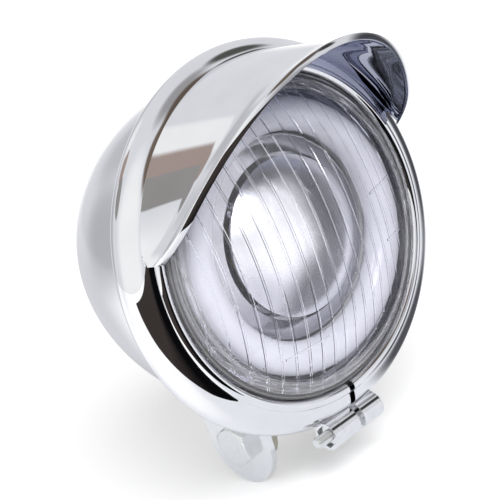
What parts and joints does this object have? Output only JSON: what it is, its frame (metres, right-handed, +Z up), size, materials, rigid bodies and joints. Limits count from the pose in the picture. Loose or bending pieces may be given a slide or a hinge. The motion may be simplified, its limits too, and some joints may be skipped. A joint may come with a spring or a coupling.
{
  "type": "motorcycle headlight",
  "caption": "Bullet-shaped motorcycle headlight with a peaked visor, split trim ring, fluted lens, halo ring and a bolted clevis bracket",
  "frame": {"origin": "middle of the mounting bolt, between the ears of the bracket", "axes": "+X to the right seen from the front, along the mounting bolt; +Y to the rear along the lamp's axis; +Z up from the bracket to the lamp"},
  "size_m": [0.1332, 0.138, 0.1516],
  "materials": {
    "shell_chrome": "polished",
    "clamp_chrome": "polished",
    "fastener_steel": "zinc plated",
    "bracket_chrome": "polished",
    "lens_clear": "clear",
    "gasket_rubber": "matte",
    "reflector_metal": "vacuum metallised",
    "opal_plastic": "opal",
    "board_white": "satin",
    "chip_yellow": "phosphor",
    "carrier_grey": "satin",
    "dome_chrome": "vacuum metallised",
    "sink_aluminium": "machined",
    "board_green": "solder mask",
    "clip_brass": "spring brass",
    "driver_plastic": "satin",
    "socket_nylon": "nylon",
    "lead_red": "insulated",
    "lead_black": "insulated",
    "bush_rubber": "satin"
  },
  "bodies": {
    "root": {"bucket": "shell_chrome", "trim_ring": "shell_chrome", "visor": "shell_chrome", "nut_barrel": "clamp_chrome", "head_barrel": "clamp_chrome", "clamp_screw": "fastener_steel", "clamp_nut": "fastener_steel", "lens": "lens_clear", "lens_gasket": "gasket_rubber", "reflector": "reflector_metal", "unit_clips": "clip_brass", "halo_tube": "opal_plastic", "halo_board": "board_white", "halo_chips": "chip_yellow", "halo_carrier": "carrier_grey", "carrier_nuts": "fastener_steel", "inner_bezel": "dome_chrome", "dome_shade": "dome_chrome", "lamp_post": "sink_aluminium", "core_board": "board_green", "core_chips": "chip_yellow", "post_lock_ring": "clip_brass", "heat_sink": "sink_aluminium", "driver_case": "driver_plastic", "supply_socket": "socket_nylon", "main_lead": "lead_red", "halo_lead": "lead_black", "cable_grommet": "gasket_rubber", "mount_bracket": "bracket_chrome", "backing_plate": "fastener_steel", "bracket_screws": "fastener_steel", "mount_bolt": "fastener_steel", "near_bush": "bush_rubber", "far_bush": "bush_rubber", "mount_washer": "fastener_steel", "mount_nut": "fastener_steel"}
  },
  "joints": []
}
